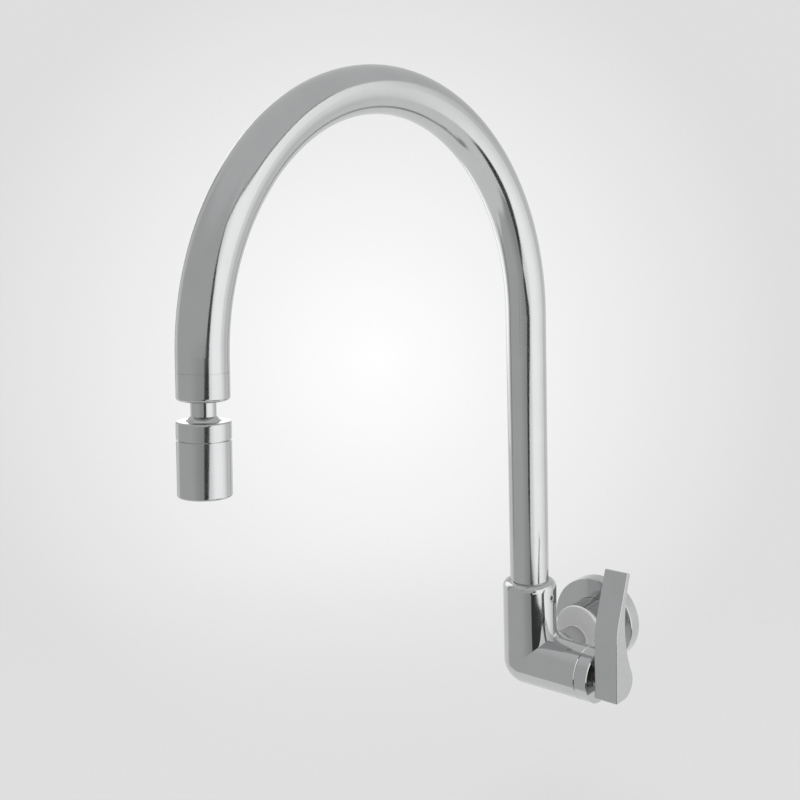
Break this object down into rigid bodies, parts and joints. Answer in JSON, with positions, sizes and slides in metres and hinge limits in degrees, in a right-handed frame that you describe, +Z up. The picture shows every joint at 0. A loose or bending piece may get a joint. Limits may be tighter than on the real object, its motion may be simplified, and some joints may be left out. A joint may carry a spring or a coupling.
{
  "type": "wall faucet",
  "caption": "Chrome wall faucet: high arched swivel spout with a tilting ball-jointed aerator, round wall flange and an upright side lever.",
  "frame": {"origin": "middle of the inlet thread, on the face of the wall", "axes": "+Z up; +Y into the wall, so the spout reaches out towards -Y; +X along the wall to the lever's side"},
  "size_m": [0.0787, 0.3202, 0.3448],
  "materials": {
    "chrome": "polished plate on brass",
    "brass": "machined",
    "nickel": "dull plate on brass",
    "steel": "stainless",
    "rubber": "moulded",
    "fibre": "pressed fibre",
    "ceramic": "lapped",
    "acetal": "moulded"
  },
  "bodies": {
    "base": {"body_casting": "chrome", "inlet_nipple": "brass", "inlet_gasket": "fibre", "inlet_sieve": "steel", "thrust_washer": "acetal", "wiper_ring": "acetal", "grub_screw": "steel", "seat_seal": "rubber", "fixed_disc": "ceramic", "cartridge_housing": "nickel", "housing_seal": "rubber", "bonnet_ring": "chrome"},
    "flange": {"wall_flange": "chrome", "flange_grip": "rubber"},
    "spout": {"spout_tube": "chrome", "spout_foot": "brass", "foot_seal_lower": "rubber", "foot_seal_upper": "rubber", "outlet_ferrule": "chrome", "stem_washer": "rubber", "ball_stem": "chrome"},
    "lever": {"lever": "chrome", "lever_insert": "nickel", "lever_screw": "steel", "spindle": "nickel", "spindle_seal_inner": "rubber", "spindle_seal_outer": "rubber", "spindle_clip": "steel", "moving_disc": "ceramic"},
    "swivel": {"ball_liner": "acetal"},
    "aerator": {"aerator_nut": "chrome", "aerator_shell": "chrome", "aerator_gasket": "rubber", "flow_regulator": "acetal", "flow_straightener": "acetal", "screen_upper": "steel", "screen_lower": "steel"}
  },
  "joints": [
    {"name": "flange_slide", "type": "slide", "parent": "base", "child": "flange", "axis": [0, -1, 0], "range_m": [0, 0.018]},
    {"name": "spout_swivel", "type": "hinge", "parent": "base", "child": "spout", "pos_m": [-0.014, -0.0558, 0.0273], "axis": [0, 0, 1], "range_deg": [-90, 90]},
    {"name": "lever_turn", "type": "hinge", "parent": "base", "child": "lever", "pos_m": [0.0248, -0.0558, -0.0107], "axis": [1, 0, 0], "range_deg": [0, 90]},
    {"name": "aerator_turn", "type": "hinge", "parent": "spout", "child": "swivel", "pos_m": [-0.014, -0.28932, 0.16734], "axis": [0, 0.0558, 0.9984], "continuous": true},
    {"name": "aerator_tilt", "type": "hinge", "parent": "swivel", "child": "aerator", "pos_m": [-0.014, -0.28932, 0.16734], "axis": [1, 0, 0], "range_deg": [-18, 18]}
  ]
}
